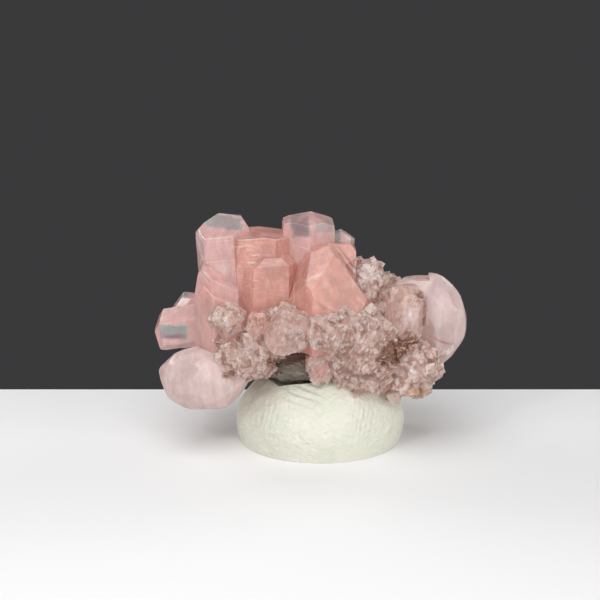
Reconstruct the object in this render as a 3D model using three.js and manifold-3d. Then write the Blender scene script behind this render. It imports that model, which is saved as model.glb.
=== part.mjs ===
// Cobaltoan calcite cluster: blocky pink crystals grown together over sparkling druse, with a
// patch of the rock they grew on, pressed into a mound of display putty.
//
// Millimetres, +Z up. The origin is the centre of the putty's flat foot, -Y is the front and
// +X is to the right. Run with the npm packages three and manifold-3d.

import * as THREE from "three";
import { ConvexGeometry } from "three/addons/geometries/ConvexGeometry.js";
import { mergeVertices } from "three/addons/utils/BufferGeometryUtils.js";
import Module from "manifold-3d";

// ---------------------------------------------------------------- driving dimensions

const GAP = 0.3; // clearance between pieces that touch
const CUTTER = 20; // side of a block that cuts a piece away
const SAME_POINT = 1e-4; // corners closer than this are one
const PARALLEL = 1e-6; // a smaller product of three normals means no meeting point
const DEGREE = Math.PI / 180;
const GOLDEN_ANGLE = Math.PI * (3 - Math.sqrt(5));

const MOUND = {
  radii: [8.2, 7.3], // of the foot, across and front to back
  height: 8.8, // before the cluster is pressed in
  bulge: 0.5, // how far the side swells past the foot
  bulgeTop: 0.67, // where the swelling ends, as a share of the height
  roundness: 3, // how late the side turns in to the top
  shift: 0.9, // how far the top leans to the right
  segments: 56,
  rings: 10,
};

// Finger dents in the mound: [azimuth from the front, height, depth, reach].
const DENT_FALLOFF = 2;
const DENTS = [
  [-62, 4.6, 0.45, 3.2],
  [-14, 5.6, 0.3, 2.2],
  [38, 3.6, 0.3, 2.8],
  [96, 4.8, 0.4, 2.6],
  [150, 3.8, 0.5, 3.0],
  [-140, 4.4, 0.45, 3.0],
];

// The hollow that the cluster's underside leaves in the top of the mound.
const HOLLOW = { centre: [0.6, 0.4, 13.6], radii: [9.8, 8.8, 6.4], corners: 160 };

const ROCK = {
  centre: [-2.7, -0.9, 8.7],
  radii: [3.7, 4.5, 2.1],
  corners: 46,
  roughness: 0.16,
  seed: 31,
};

// A crystal's `at` is the middle of its point. It grows upright until `lean` tips it to the right
// and `pitch` towards the front; `twist` turns it on its own axis. Its six sides close on an
// ellipse of `width` by `depth`. `ends` are the faces that close its point, each
// [azimuth from the front, slope from the crystal's own level, height over `at`].
const CRYSTALS = {
  left_spire: {
    at: [-9.85, 1.0, 23.0],
    lean: -5,
    pitch: -8,
    twist: -8,
    width: 4.8,
    depth: 4.5,
    length: 13,
    ends: [
      [-10, 33, -0.44],
      [-93, 29, 0.33],
      [-93, 44, 0.79],
      [93, 60, 1.6],
      [93, 11, 0.12],
      [180, 34, 0.75],
    ],
  },
  broad_block: {
    at: [-6.0, 0.8, 21.6],
    lean: 1,
    pitch: 0,
    twist: -3,
    width: 6.3,
    depth: 6.4,
    length: 13,
    ends: [
      [-68, 8, 0.04],
      [-90, 17, 0.3],
      [88, 9, 0.06],
      [180, 36, 0.72],
    ],
  },
  broad_step: {
    at: [-6.75, -1.0, 20.6],
    lean: 1,
    pitch: 0,
    twist: -3,
    width: 3.6,
    depth: 3.0,
    length: 11,
    ends: [[-40, 14, 0.0]],
  },
  inner_block: {
    at: [-5.2, -1.6, 19.7],
    lean: 1,
    pitch: 0,
    twist: 10,
    width: 5.2,
    depth: 3.8,
    length: 9,
    ends: [
      [8, 42, 0.75],
      [75, 36, 0.85],
      [-80, 40, 0.25],
      [0, 5, 0.0],
    ],
  },
  top_block: {
    at: [-1.15, 1.3, 23.1],
    lean: 1,
    pitch: 1,
    twist: 33,
    width: 5.0,
    depth: 4.8,
    length: 13,
    ends: [
      [0, 12, -0.02],
      [-90, 16, 0.0],
      [88, 22, 0.15],
      [180, 40, 0.6],
    ],
  },
  small_block: {
    at: [2.25, 4.4, 20.5],
    lean: 3,
    pitch: -6,
    twist: 12,
    width: 2.4,
    depth: 2.7,
    length: 8,
    ends: [
      [-80, 24, 0.1],
      [85, 27, 0.05],
      [0, 30, 0.1],
    ],
  },
  front_wedge: {
    at: [0.9, -2.5, 20.7],
    lean: 0,
    pitch: 0,
    twist: 10,
    width: 7.6,
    depth: 6.6,
    length: 10,
    ends: [
      [30, 64, 0.3],
      [-15, 40, -0.25],
      [-80, 19, 0.0],
      [-75, 63, 1.25],
      [97, 56, 0.05],
      [180, 48, 0.6],
    ],
  },
  right_block: {
    at: [2.0, -0.4, 20.15],
    lean: 4,
    pitch: -2,
    twist: 30,
    width: 3.1,
    depth: 3.6,
    length: 9,
    ends: [
      [-4, 44, 0.15],
      [180, 14, 0.3],
      [88, 46, 0.95],
    ],
  },
  lower_block: {
    at: [-10.05, -1.7, 17.7],
    lean: -1,
    pitch: 3,
    twist: 18,
    width: 4.5,
    depth: 4.2,
    length: 8.6,
    ends: [
      [72, 35, 0.3],
      [-90, 62, 1.85],
      [-90, 79, 1.95],
      [180, 30, 1.4],
    ],
  },
  lower_step: {
    at: [-9.9, -2.7, 16.3],
    lean: -1,
    pitch: 3,
    twist: 18,
    width: 3.9,
    depth: 3.4,
    length: 7.4,
    ends: [
      [72, 35, 0.1],
      [-90, 62, 1.7],
    ],
  },
  side_point: {
    at: [-16.35, 0.2, 11.3],
    lean: -98,
    pitch: 4,
    twist: 0,
    width: 3.8,
    depth: 3.6,
    length: 7,
    ends: [
      [90, 30, 0.25],
      [-90, 9, 0.25],
      [-90, 60, 1.6],
      [0, 32, 0.5],
      [180, 30, 0.6],
    ],
  },
  side_twin: {
    at: [-13.95, 2.0, 14.2],
    lean: -38,
    pitch: 0,
    twist: 20,
    width: 3.0,
    depth: 2.9,
    length: 7,
    ends: [
      [90, 34, 0.2],
      [-90, 14, 0.1],
      [0, 30, 0.3],
    ],
  },
  left_blade: {
    at: [-9.0, -4.6, 15.1],
    lean: -8,
    pitch: 12,
    twist: 10,
    width: 2.6,
    depth: 2.4,
    length: 6,
    ends: [
      [30, 45, 0.1],
      [150, 45, 0.2],
      [-90, 45, 0.1],
    ],
  },
  middle_blade: {
    at: [-5.6, -5.3, 14.6],
    lean: 20,
    pitch: 16,
    twist: -12,
    width: 1.9,
    depth: 2.2,
    length: 6,
    ends: [
      [-30, 45, 0.0],
      [-150, 45, 0.2],
      [90, 45, 0.15],
    ],
  },
  thin_plate: {
    at: [-0.6, -5.3, 10.6],
    lean: -18,
    pitch: 6,
    twist: 8,
    width: 2.1,
    depth: 0.8,
    length: 2.9,
    ends: [
      [90, 40, 0.6],
      [-90, 25, 0.2],
    ],
  },
  back_tower: {
    at: [-5.6, 7.0, 18.5],
    lean: -8,
    pitch: -34,
    twist: 6,
    width: 5.4,
    depth: 4.8,
    length: 11,
    ends: [
      [180, 30, 0.0],
      [60, 27, 0.1],
      [-60, 33, 0.3],
    ],
  },
  back_block: {
    at: [2.3, 7.6, 17.0],
    lean: 14,
    pitch: -46,
    twist: 22,
    width: 4.8,
    depth: 4.4,
    length: 10,
    ends: [
      [175, 26, 0.0],
      [50, 40, 0.2],
      [-70, 28, 0.1],
    ],
  },
  back_wedge: {
    at: [-11.2, 6.3, 14.6],
    lean: -36,
    pitch: -48,
    twist: 8,
    width: 4.4,
    depth: 3.9,
    length: 10,
    ends: [
      [170, 44, 0.0],
      [40, 48, 0.3],
      [-80, 40, 0.1],
    ],
  },
  back_point: {
    at: [-4.6, 9.4, 12.6],
    lean: -12,
    pitch: -78,
    twist: 25,
    width: 4.2,
    depth: 4.0,
    length: 9,
    ends: [
      [0, 28, 0.0],
      [120, 28, 0.1],
      [-120, 36, 0.2],
    ],
  },
  back_step: {
    at: [7.0, 6.9, 14.2],
    lean: 34,
    pitch: -60,
    twist: 15,
    width: 3.8,
    depth: 3.6,
    length: 9,
    ends: [
      [0, 30, 0.1],
      [120, 26, 0.0],
      [-120, 34, 0.2],
    ],
  },
  back_stub: {
    at: [2.6, 9.2, 11.0],
    lean: 16,
    pitch: -86,
    twist: 5,
    width: 3.6,
    depth: 3.4,
    length: 8,
    ends: [
      [0, 32, 0.0],
      [120, 24, 0.1],
      [-120, 30, 0.1],
    ],
  },
};

// Rounded bodies: an ellipsoid of corners, turned by `roll` about the front-to-back line. The
// smooth ones are curved, etched crystals; the rough ones are the druse's foundation.
const LENSES = {
  right_disc: {
    centre: [10.35, -0.4, 12.55],
    radii: [4.6, 2.7, 5.1],
    roll: -4,
    corners: 86,
    stepLeftOf: 10.8,
  },
  right_plate: {
    centre: [9.8, -0.2, 12.1],
    radii: [4.6, 2.9, 5.1],
    roll: 0,
    corners: 70,
  },
  right_fan: {
    centre: [8.25, -3.2, 13.5],
    radii: [2.1, 2.1, 3.75],
    roll: 8,
    corners: 50,
  },
  left_lens: {
    centre: [-11.4, -2.9, 7.4],
    radii: [4.6, 3.5, 3.2],
    roll: -6,
    corners: 80,
    flat: [-90, 46, 3.6],
  },
};
const LUMPS = {
  core: { centre: [-3.4, 1.8, 12.2], radii: [8.4, 6.2, 5.3], druse: 44 },
  core_right: { centre: [5.6, 2.4, 11.7], radii: [4.9, 5.4, 4.9], druse: 30 },
  saddle: { centre: [4.2, 0.8, 15.8], radii: [2.5, 2.4, 2.6], druse: 17 },
  lobe_left: { centre: [-3.0, -5.6, 13.0], radii: [2.1, 2.1, 2.1], druse: 21 },
  lobe_right: { centre: [1.3, -5.0, 13.0], radii: [3.4, 2.6, 2.2], druse: 28 },
  front_left: { centre: [-7.2, -3.7, 10.4], radii: [3.4, 2.9, 2.7], druse: 24 },
  front_right: { centre: [4.2, -4.2, 10.6], radii: [3.9, 3.1, 4.2], druse: 30 },
  right_foot: { centre: [8.6, -2.6, 8.7], radii: [3.3, 3.4, 3.2], druse: 22 },
};
const LUMP_CORNERS = 44;
const LUMP_ROUGHNESS = 0.08;
const DRUSE_WIDTH = 1.15; // of an average druse crystal
const DRUSE_SPREAD = 0.35; // how much wider or narrower the others are
const DRUSE_SINK = 0.25; // how deep its middle sits, as a share of its width
const DRUSE_STRAY = 0.55; // how far its axis strays from the surface's own direction
const RHOMB_ANGLE = 45; // how far a calcite rhomb's face normals lean from its axis

const COLOURS = {
  calcite: 0xdba49c,
  host_rock: 0x6b625c,
  putty: 0xdcdccb,
};

// ---------------------------------------------------------------- small helpers

// A repeatable stream of numbers from -1 to 1.
function jitterStream(seed) {
  let state = seed;
  return () => {
    state = (state * 1664525 + 1013904223) % 4294967296;
    return (2 * state) / 4294967296 - 1;
  };
}

// The direction of point i of n spread evenly over a sphere.
function spread(i, n) {
  const z = 1 - (2 * i + 1) / n;
  const ring = Math.sqrt(1 - z * z);
  const turn = i * GOLDEN_ANGLE;
  return new THREE.Vector3(ring * Math.cos(turn), ring * Math.sin(turn), z);
}

// The outward direction of a face at this azimuth from the front and this slope from level.
function faceNormal(azimuth, slope) {
  const turn = azimuth * DEGREE;
  const tilt = slope * DEGREE;
  return new THREE.Vector3(
    Math.sin(turn) * Math.sin(tilt),
    -Math.cos(turn) * Math.sin(tilt),
    Math.cos(tilt),
  );
}

// Where three planes { normal, distance } meet, or nothing when they do not.
function meetingPoint(p, q, r) {
  const qr = new THREE.Vector3().crossVectors(q.normal, r.normal);
  const volume = p.normal.dot(qr);
  if (Math.abs(volume) < PARALLEL) return undefined;
  const rp = new THREE.Vector3().crossVectors(r.normal, p.normal);
  const pq = new THREE.Vector3().crossVectors(p.normal, q.normal);
  return qr
    .multiplyScalar(p.distance)
    .addScaledVector(rp, q.distance)
    .addScaledVector(pq, r.distance)
    .divideScalar(volume);
}

// The convex solid inside all of these planes.
function convexFromPlanes(planes) {
  const corners = [];
  for (let a = 0; a < planes.length; a++)
    for (let b = a + 1; b < planes.length; b++)
      for (let c = b + 1; c < planes.length; c++) {
        const corner = meetingPoint(planes[a], planes[b], planes[c]);
        if (!corner) continue;
        const inside = planes.every((p) => p.normal.dot(corner) < p.distance + SAME_POINT);
        const known = corners.some((other) => other.distanceTo(corner) < SAME_POINT);
        if (inside && !known) corners.push(corner);
      }
  return new ConvexGeometry(corners);
}

// ---------------------------------------------------------------- manifold-3d

const wasm = await Module();
wasm.setup();

function toSolid(geometry) {
  const bare = new THREE.BufferGeometry();
  bare.setAttribute("position", geometry.getAttribute("position"));
  bare.setIndex(geometry.index);
  const merged = mergeVertices(bare, SAME_POINT);
  const mesh = new wasm.Mesh({
    numProp: 3,
    vertProperties: merged.attributes.position.array,
    triVerts: new Uint32Array(merged.index.array),
  });
  return new wasm.Manifold(mesh);
}

function toGeometry(solid) {
  const mesh = solid.getMesh();
  const geometry = new THREE.BufferGeometry();
  geometry.setAttribute("position", new THREE.BufferAttribute(mesh.vertProperties, 3));
  geometry.setIndex(new THREE.BufferAttribute(mesh.triVerts, 1));
  geometry.computeVertexNormals();
  return geometry;
}

// Joins many solids in pairs, so that no step works on a needlessly large one.
function joinAll(solids) {
  let left = solids;
  while (left.length > 1) {
    const joined = [];
    for (let i = 0; i < left.length; i += 2)
      joined.push(i + 1 < left.length ? left[i].add(left[i + 1]) : left[i]);
    left = joined;
  }
  return left[0];
}

// ---------------------------------------------------------------- crystals and lumps

// `grow` moves every face of a shape outwards, for cutting a clearance around it.

// A six-sided crystal, as CRYSTALS describes.
function prismCrystal({ at, lean, pitch, twist, width, depth, length, ends }, grow) {
  const planes = [{ normal: new THREE.Vector3(0, 0, -1), distance: length + grow }];
  for (let side = 0; side < 6; side++) {
    const normal = faceNormal(twist + 60 * side, 90);
    const reach = Math.hypot((width / 2) * normal.x, (depth / 2) * normal.y);
    planes.push({ normal, distance: reach + grow });
  }
  for (const [azimuth, slope, height] of ends)
    planes.push({ normal: faceNormal(azimuth, slope), distance: height + grow });
  const geometry = convexFromPlanes(planes);
  geometry.rotateX(pitch * DEGREE);
  geometry.rotateY(lean * DEGREE);
  geometry.translate(...at);
  return toSolid(geometry);
}

// A calcite rhomb of this width about `centre`, with its axis along `axis`.
function rhomb(centre, axis, twist, width) {
  const planes = [];
  for (let face = 0; face < 3; face++) {
    const normal = faceNormal(twist + 120 * face, RHOMB_ANGLE);
    planes.push({ normal, distance: width / 2 });
    planes.push({ normal: normal.clone().negate(), distance: width / 2 });
  }
  const geometry = convexFromPlanes(planes);
  const turn = new THREE.Quaternion().setFromUnitVectors(new THREE.Vector3(0, 0, 1), axis);
  geometry.applyQuaternion(turn);
  geometry.translate(centre.x, centre.y, centre.z);
  return toSolid(geometry);
}

// An ellipsoid of this many corners, each moved in or out by up to `roughness` of its radius.
// `stepLeftOf` cuts a steep step down its left side, where a rounded crystal has cleaved. `flat`
// is a face it is worn to: [azimuth from the front, slope, distance from the centre].
function roundedSolid(shape, grow = 0) {
  const { centre, radii, corners, roll = 0, roughness = 0, seed = 1, stepLeftOf, flat } = shape;
  const jitter = jitterStream(seed);
  const points = [];
  for (let i = 0; i < corners; i++) {
    const way = spread(i, corners);
    const point = new THREE.Vector3(...radii).multiply(way);
    point.multiplyScalar(1 + roughness * jitter()).addScaledVector(way, grow);
    points.push(point);
  }
  const geometry = new ConvexGeometry(points);
  geometry.rotateY(roll * DEGREE);
  geometry.translate(...centre);
  const solid = toSolid(geometry);
  if (flat) {
    const [azimuth, slope, distance] = flat;
    const inward = faceNormal(azimuth, slope).negate();
    const kept = inward.dot(new THREE.Vector3(...centre)) - distance - grow;
    return solid.trimByPlane(inward.toArray(), kept);
  }
  if (stepLeftOf === undefined) return solid;
  const waste = new THREE.BoxGeometry(CUTTER, CUTTER, CUTTER);
  waste.translate(stepLeftOf - CUTTER / 2 - grow, centre[1], centre[2] + CUTTER / 2);
  return solid.subtract(toSolid(waste));
}

// A lump with the small crystals that stand all over it.
function drusyLump({ centre, radii, druse }, seed, grow) {
  const jitter = jitterStream(seed);
  const body = { centre, radii, corners: LUMP_CORNERS, roughness: LUMP_ROUGHNESS, seed };
  const solids = [roundedSolid(body, grow)];
  for (let i = 0; i < druse; i++) {
    const way = spread(i, druse);
    const width = DRUSE_WIDTH * (1 + DRUSE_SPREAD * jitter());
    const axis = way.clone().divide(new THREE.Vector3(...radii)).normalize();
    const middle = new THREE.Vector3(...radii).multiply(way).add(new THREE.Vector3(...centre));
    middle.addScaledVector(axis, -DRUSE_SINK * width);
    const stray = new THREE.Vector3(jitter(), jitter(), jitter());
    axis.addScaledVector(stray, DRUSE_STRAY).normalize();
    solids.push(rhomb(middle, axis, 60 * jitter(), width + 2 * grow));
  }
  return joinAll(solids);
}

// ---------------------------------------------------------------- the three pieces

function calciteCluster(grow) {
  const solids = Object.values(CRYSTALS).map((crystal) => prismCrystal(crystal, grow));
  for (const lens of Object.values(LENSES)) solids.push(roundedSolid(lens, grow));
  Object.values(LUMPS).forEach((lump, i) => solids.push(drusyLump(lump, i + 1, grow)));
  return joinAll(solids);
}

// How far the mound's side is pushed in at this azimuth and height.
function dentDepth(azimuth, height) {
  let depth = 0;
  for (const [at, level, deepest, reach] of DENTS) {
    const turn = Math.atan2(Math.sin(azimuth - at * DEGREE), Math.cos(azimuth - at * DEGREE));
    const away = Math.hypot(turn * MOUND.radii[0], height - level) / reach;
    depth += deepest * Math.exp(-DENT_FALLOFF * away * away);
  }
  return depth;
}

// The mound before anything is pressed into it: a dome turned on a lathe, then made oval, leant
// to the right and dented.
function puttyMound() {
  const profile = [new THREE.Vector2(0, 0)];
  for (let ring = 0; ring <= MOUND.rings; ring++) {
    const up = ring / MOUND.rings;
    const swell = MOUND.bulge * Math.sin(Math.PI * Math.min(1, up / MOUND.bulgeTop));
    const taper = Math.sqrt(1 - Math.pow(up, MOUND.roundness));
    profile.push(new THREE.Vector2(MOUND.radii[0] * taper + swell, MOUND.height * up));
  }
  profile.at(-1).x = 0;
  const geometry = new THREE.LatheGeometry(profile, MOUND.segments);
  geometry.rotateX(Math.PI / 2);
  const position = geometry.getAttribute("position");
  const oval = MOUND.radii[1] / MOUND.radii[0];
  for (let i = 0; i < position.count; i++) {
    const [x, y, z] = [position.getX(i), position.getY(i), position.getZ(i)];
    const up = z / MOUND.height;
    const radius = Math.max(1, Math.hypot(x, y));
    const pushed = 1 - dentDepth(Math.atan2(x, -y), z) / radius;
    position.setX(i, x * pushed + MOUND.shift * up * up);
    position.setY(i, y * pushed * oval);
  }
  return toSolid(geometry);
}

const rock = roundedSolid(ROCK);
const rockSeat = roundedSolid(ROCK, GAP);
const calcite = calciteCluster(0).subtract(rockSeat);
const socket = calciteCluster(GAP).add(rockSeat).add(roundedSolid(HOLLOW));
const putty = puttyMound().subtract(socket);

// ---------------------------------------------------------------- the scene graph

function piece(name, solid, colour, roughness) {
  const material = new THREE.MeshStandardMaterial({ color: colour, roughness, metalness: 0 });
  const mesh = new THREE.Mesh(toGeometry(solid), material);
  mesh.name = name;
  return mesh;
}

const cluster = new THREE.Group();
cluster.add(piece("calcite_crystals", calcite, COLOURS.calcite, 0.15));
cluster.add(piece("host_rock", rock, COLOURS.host_rock, 0.85));
cluster.add(piece("putty_mound", putty, COLOURS.putty, 0.6));

export default cluster;
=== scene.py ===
import functools
import itertools
import math
from typing import NamedTuple

import bmesh
import bpy
from mathutils import Matrix, Vector, noise


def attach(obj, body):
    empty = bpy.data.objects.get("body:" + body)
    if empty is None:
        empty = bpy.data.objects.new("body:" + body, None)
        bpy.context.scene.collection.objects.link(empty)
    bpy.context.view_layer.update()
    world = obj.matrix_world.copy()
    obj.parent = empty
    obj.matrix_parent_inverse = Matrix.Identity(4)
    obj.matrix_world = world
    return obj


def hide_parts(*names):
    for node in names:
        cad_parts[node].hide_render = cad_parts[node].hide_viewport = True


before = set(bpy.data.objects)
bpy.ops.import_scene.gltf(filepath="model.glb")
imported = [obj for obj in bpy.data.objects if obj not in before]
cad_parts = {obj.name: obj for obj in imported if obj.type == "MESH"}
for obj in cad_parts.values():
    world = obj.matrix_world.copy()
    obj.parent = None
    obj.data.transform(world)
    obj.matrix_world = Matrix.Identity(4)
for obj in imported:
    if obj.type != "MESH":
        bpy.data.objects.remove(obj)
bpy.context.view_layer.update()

bl_info = {
    "name": "Cobaltoan Calcite Cluster",
    "version": (1, 0, 0),
    "blender": (4, 5, 0),
    "location": "3D View > Sidebar > Calcite",
    "description": "Dresses the cluster's three pieces and sets the stage around them",
    "category": "Object",
}

# ---------------------------------------------------------------- the cluster's own shapes

# The tables are in millimetres and degrees, as the solids are: +Z up, -Y to the front, and the
# origin in the middle of the putty's foot. MM turns them into metres.
MM = 0.001
GOLDEN_ANGLE = math.pi * (3 - math.sqrt(5))
SAME_POINT = 1e-4  # corners nearer than this are one
SAME_PLANE = 0.01  # faces that meet at a smaller angle, in radians, are one
PARALLEL = 1e-6  # three planes whose determinant is smaller have no corner
RANDOM_FACTOR = 1664525  # these three make jitter_stream's row, the same in each run
RANDOM_STEP = 1013904223
RANDOM_RANGE = 4294967296


class Crystal(NamedTuple):
    """A six-sided crystal. Each of its end faces is (azimuth from the front, slope, height)."""

    point: tuple
    tilt: tuple  # lean to the right, pitch to the front, twist on its own axis
    size: tuple  # width, depth, length
    ends: tuple  # a face's height is over the point, measured straight out of the face
    ledges: tuple = ()  # how far below the point each growth ledge runs
    clear: float = -1  # how far below the point the crystal stays clear; below 0, nowhere
    tone: float = 1  # from 0, lilac pink, to 1, salmon
    grains: float = 0  # how closely the small crystals stand on it


CRYSTALS = {
    "left_spire": Crystal(
        (-9.85, 1.0, 23.0), (-5, -8, -8), (4.8, 4.5, 13),
        ((-10, 33, -0.44), (-93, 29, 0.33), (-93, 44, 0.79), (93, 60, 1.6), (93, 11, 0.12),
         (180, 34, 0.75)),
        (0.3, 1.9, 4.1),
        tone=0.3,
    ),
    "broad_block": Crystal(
        (-6.0, 0.8, 21.6), (1, 0, -3), (6.3, 6.4, 13),
        ((-68, 8, 0.04), (-90, 17, 0.3), (88, 9, 0.06), (180, 36, 0.72)),
        (0.35, 0.6, 0.95, 2.6),
        tone=0.9,
    ),
    "broad_step": Crystal(
        (-6.75, -1.0, 20.6), (1, 0, -3), (3.6, 3.0, 11), ((-40, 14, 0.0),), (0.5,)
    ),
    "inner_block": Crystal(
        (-5.2, -1.6, 19.7), (1, 0, 10), (5.2, 3.8, 9),
        ((8, 42, 0.75), (75, 36, 0.85), (-80, 40, 0.25), (0, 5, 0.0)),
        (0.4,),
    ),
    "top_block": Crystal(
        (-1.15, 1.3, 23.1), (1, 1, 33), (5.0, 4.8, 13),
        ((0, 12, -0.02), (-90, 16, 0.0), (88, 22, 0.15), (180, 40, 0.6)),
        (0.3, 2.2),
        tone=0.3,
    ),
    "small_block": Crystal(
        (2.25, 4.4, 20.5), (3, -6, 12), (2.4, 2.7, 8),
        ((-80, 24, 0.1), (85, 27, 0.05), (0, 30, 0.1)),
        (0.7,),
        tone=0.1,
    ),
    "front_wedge": Crystal(
        (0.9, -2.5, 20.7), (0, 0, 10), (7.6, 6.6, 10),
        ((30, 64, 0.3), (-15, 40, -0.25), (-80, 19, 0.0), (-75, 63, 1.25), (97, 56, 0.05),
         (180, 48, 0.6)),
        (0.25, 1.3),
    ),
    "right_block": Crystal(
        (2.0, -0.4, 20.15), (4, -2, 30), (3.1, 3.6, 9),
        ((-4, 44, 0.15), (180, 14, 0.3), (88, 46, 0.95)),
        (0.4,),
    ),
    "lower_block": Crystal(
        (-10.05, -1.7, 17.7), (-1, 3, 18), (4.5, 4.2, 8.6),
        ((72, 35, 0.3), (-90, 62, 1.85), (-90, 79, 1.95), (180, 30, 1.4)),
        (0.5, 1.5),
        tone=0.4,
    ),
    "lower_step": Crystal(
        (-9.9, -2.7, 16.3), (-1, 3, 18), (3.9, 3.4, 7.4), ((72, 35, 0.1), (-90, 62, 1.7)),
        (0.6,),
        tone=0.6,
    ),
    "side_point": Crystal(
        (-16.35, 0.2, 11.3), (-98, 4, 0), (3.8, 3.6, 7),
        ((90, 30, 0.25), (-90, 9, 0.25), (-90, 60, 1.6), (0, 32, 0.5), (180, 30, 0.6)),
        (0.8, 1.7),
        tone=0.3,
    ),
    "side_twin": Crystal(
        (-13.95, 2.0, 14.2), (-38, 0, 20), (3.0, 2.9, 7),
        ((90, 34, 0.2), (-90, 14, 0.1), (0, 30, 0.3)),
        (0.5,),
        tone=0.3,
    ),
    "left_blade": Crystal(
        (-9.0, -4.6, 15.1), (-8, 12, 10), (2.6, 2.4, 6),
        ((30, 45, 0.1), (150, 45, 0.2), (-90, 45, 0.1)),
        tone=0.5, grains=1.0,
    ),
    "middle_blade": Crystal(
        (-5.6, -5.3, 14.6), (20, 16, -12), (1.9, 2.2, 6),
        ((-30, 45, 0.0), (-150, 45, 0.2), (90, 45, 0.15)),
        tone=0.7, grains=1.6,
    ),
    "thin_plate": Crystal(
        (-0.6, -5.3, 10.6), (-18, 6, 8), (2.1, 0.8, 2.9), ((90, 40, 0.6), (-90, 25, 0.2)),
        tone=0.6, grains=0.9,
    ),
    "back_tower": Crystal(
        (-5.6, 7.0, 18.5), (-8, -34, 6), (5.4, 4.8, 11),
        ((180, 30, 0.0), (60, 27, 0.1), (-60, 33, 0.3)),
        (0.4, 1.4),
        clear=1.6, tone=0.5,
    ),
    "back_block": Crystal(
        (2.3, 7.6, 17.0), (14, -46, 22), (4.8, 4.4, 10),
        ((175, 26, 0.0), (50, 40, 0.2), (-70, 28, 0.1)),
        (0.5, 1.2),
        clear=1.4, tone=0.4,
    ),
    "back_wedge": Crystal(
        (-11.2, 6.3, 14.6), (-36, -48, 8), (4.4, 3.9, 10),
        ((170, 44, 0.0), (40, 48, 0.3), (-80, 40, 0.1)),
        (0.5,),
        clear=1.0, tone=0.6,
    ),
    "back_point": Crystal(
        (-4.6, 9.4, 12.6), (-12, -78, 25), (4.2, 4.0, 9),
        ((0, 28, 0.0), (120, 28, 0.1), (-120, 36, 0.2)),
        (0.4,),
        clear=1.5, tone=0.2,
    ),
    "back_step": Crystal(
        (7.0, 6.9, 14.2), (34, -60, 15), (3.8, 3.6, 9),
        ((0, 30, 0.1), (120, 26, 0.0), (-120, 34, 0.2)),
        (0.5,),
        clear=1.0, tone=0.3,
    ),
    "back_stub": Crystal(
        (2.6, 9.2, 11.0), (16, -86, 5), (3.6, 3.4, 8),
        ((0, 32, 0.0), (120, 24, 0.1), (-120, 30, 0.1)),
    ),
}
LEDGE_WIDTH = 0.045  # how far the sides stand out further below a ledge
LEDGE_SPREAD = 0.04  # how much that varies
CRYSTAL_BEVEL = 0.05
LEDGE_BEVEL = 0.015
# Each kind of body draws its random numbers from its own row of seeds.
LEDGE_SEED = 100
LENS_SEED = 51
LUMP_SEED = 1


class Lens(NamedTuple):
    """A curved crystal: a worn ellipsoid turned by roll about the front-to-back line."""

    centre: tuple
    radii: tuple
    roll: float
    facets: int  # blunt faces all over it
    smooth: float = 1  # from 0, as sugary as the druse, to 1
    grains: float = 0  # how closely the small crystals stand on it
    step: tuple = None  # what lies left of this x and above this z has cleaved away
    flats: tuple = ()  # faces it is worn to: azimuth, slope, share of its reach that is left


LENSES = {
    "right_disc": Lens(
        (10.35, -0.4, 12.55), (4.6, 2.7, 5.1), -4, 90, step=(10.8, 16.95),
        flats=(
            (90, 72, 0.985), (90, 92, 0.985), (90, 108, 0.97), (90, 124, 0.965), (32, 92, 0.94),
            (48, 62, 0.955), (55, 118, 0.95), (125, 84, 0.945), (138, 56, 0.95), (142, 122, 0.95),
        ),
    ),
    "right_plate": Lens((9.8, -0.2, 12.1), (4.6, 3.05, 5.1), 0, 90),
    "right_fan": Lens((8.25, -3.2, 13.5), (2.1, 2.1, 3.75), 8, 44, 0.65, 0.3),
    "left_lens": Lens(
        (-11.4, -2.9, 7.4), (4.6, 3.5, 3.2), -6, 40,
        flats=(
            (-90, 46, 0.955), (-28, 62, 0.955), (24, 82, 0.965), (-62, 98, 0.95), (-14, 112, 0.96),
            (8, 38, 0.965), (-150, 80, 0.95), (160, 110, 0.95),
        ),
    ),
    "sugar_lobe": Lens((-3.0, -5.5, 13.0), (2.3, 2.1, 2.3), 12, 14, 0.45, 0.5),
}
FACET_DROP = 1.3  # how far the facets lie inside the full radius, times their number
FACET_UNEVENNESS = 0.018
FACET_BLUNTNESS = 26  # higher is sharper between facets
FACET_STRAY = 0.35  # how far each facet turns from its even place
LENS_DETAIL = 5
FRONT_WAY = (0.2, -1, 0.6)  # where the grains on crystals and lenses mostly point


class Lump(NamedTuple):
    """A rough body with this many small rhombs standing all over it."""

    centre: tuple
    radii: tuple
    druse: int
    way: tuple  # where the small crystals on it mostly point


LUMPS = {
    "core": Lump((-3.4, 1.8, 12.2), (8.4, 6.2, 5.3), 44, (-0.3, -0.3, 1)),
    "core_right": Lump((5.6, 2.4, 11.7), (4.9, 5.4, 4.9), 30, (0.5, 0.2, 1)),
    "saddle": Lump((4.2, 0.8, 15.8), (2.5, 2.4, 2.6), 17, (0.3, -0.4, 1)),
    "cream_patch": Lump((-9.1, -5.2, 14.3), (1.2, 0.8, 0.9), 9, (-0.2, -1, 0.5)),
    "lobe_right": Lump((1.3, -5.0, 13.0), (3.4, 2.6, 2.2), 28, (0.2, -1, 1)),
    "front_left": Lump((-7.2, -3.7, 10.4), (3.4, 2.9, 2.7), 24, (-0.4, -0.9, 0.3)),
    "front_right": Lump((4.2, -4.2, 10.6), (3.9, 3.1, 4.2), 30, (0.3, -1, 0.5)),
    "right_foot": Lump((8.6, -2.6, 8.7), (3.3, 3.4, 3.2), 22, (0.5, -0.8, -0.4)),
}
LUMP_CORNERS = 44
LUMP_ROUGHNESS = 0.08
DRUSE_WIDTH = 1.15  # of a middling rhomb
DRUSE_SPREAD = 0.35  # how much that varies, as a share of it
DRUSE_SINK = 0.25  # how deep a rhomb's middle sits, as a share of its width
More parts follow.
